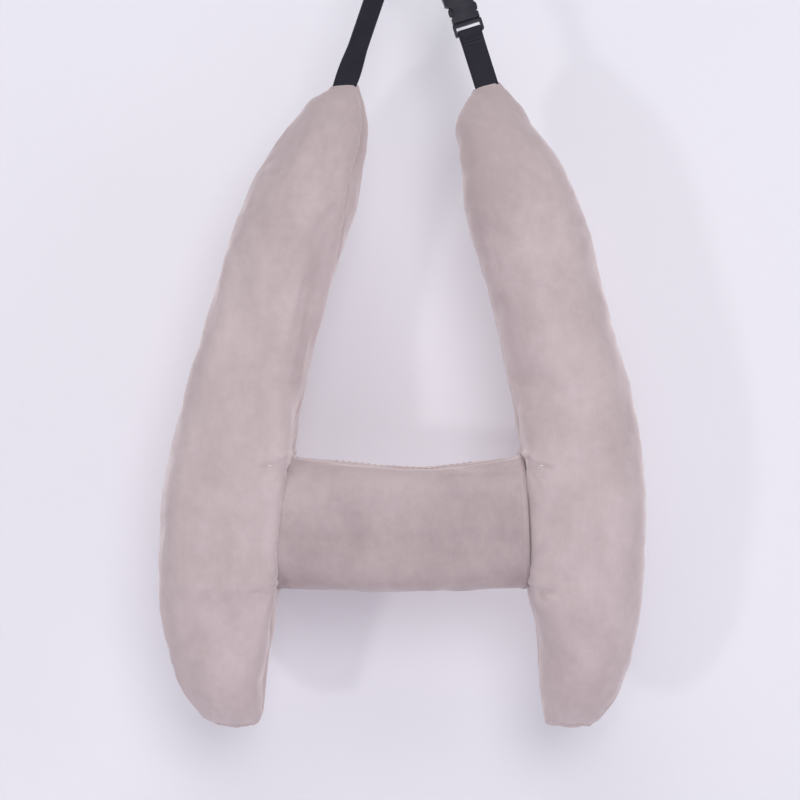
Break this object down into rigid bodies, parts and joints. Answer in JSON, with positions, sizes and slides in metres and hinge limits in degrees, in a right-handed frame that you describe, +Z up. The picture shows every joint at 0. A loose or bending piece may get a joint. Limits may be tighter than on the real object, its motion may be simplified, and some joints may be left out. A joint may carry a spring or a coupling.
{
  "type": "hanging travel neck pillow",
  "caption": "Plush travel pillow: two curved stuffed arms joined by a stuffed crossbar, hung from a webbing strap with a side-release buckle.",
  "frame": {"origin": "the strap's apex, at the middle of the rail or post that the strap wraps round", "axes": "+Z up along the hanging pillow, +X towards the arm with the buckle, -Y towards the viewer"},
  "size_m": [0.4131, 0.0942, 0.7345],
  "materials": {
    "cover_fabric": "matte",
    "filling": "matte",
    "cover_thread": "matte",
    "webbing": "matte",
    "webbing_thread": "matte",
    "buckle_plastic": "satin"
  },
  "bodies": {
    "strap": {"long_strap": "webbing", "long_strap_hem_stitches": "webbing_thread", "short_strap": "webbing", "short_strap_stitches": "webbing_thread", "buckle_plug_frame": "buckle_plastic"},
    "pillow": {"left_arm_front_panel": "cover_fabric", "left_arm_back_panel": "cover_fabric", "left_arm_filling": "filling", "right_arm_front_panel": "cover_fabric", "right_arm_back_panel": "cover_fabric", "right_arm_filling": "filling", "crossbar_cover": "cover_fabric", "crossbar_filling": "filling", "crossbar_closing_seam": "cover_thread", "left_arm_closing_stitches": "cover_thread", "right_arm_closing_stitches": "cover_thread", "left_tip_stitches": "cover_thread", "right_tip_stitches": "cover_thread"},
    "socket": {"buckle_socket": "buckle_plastic"},
    "left_prong": {"buckle_left_prong": "buckle_plastic"},
    "right_prong": {"buckle_right_prong": "buckle_plastic"}
  },
  "joints": [
    {"name": "pillow_swing", "type": "hinge", "parent": "strap", "child": "pillow", "pos_m": [-0.0025, 0, -0.17363], "axis": [-1, 0, 0], "range_deg": [-30, 75]},
    {"name": "buckle_release", "type": "slide", "parent": "strap", "child": "socket", "axis": [-0.3018, 0, 0.9534], "range_m": [0, 0.045], "deforming": ["buckle_left_prong", "buckle_right_prong"]},
    {"name": "left_prong_flex", "type": "hinge", "parent": "strap", "child": "left_prong", "pos_m": [0.03217, 0, -0.11681], "axis": [0, 1, 0], "range_deg": [0, 16], "stiffness_Nm_per_rad": 0.002},
    {"name": "right_prong_flex", "type": "hinge", "parent": "strap", "child": "right_prong", "pos_m": [0.04819, 0, -0.11174], "axis": [0, -1, 0], "range_deg": [0, 16]}
  ],
  "couplings": [
    {"joint": "right_prong_flex", "follows": "left_prong_flex", "ratio": 1}
  ]
}
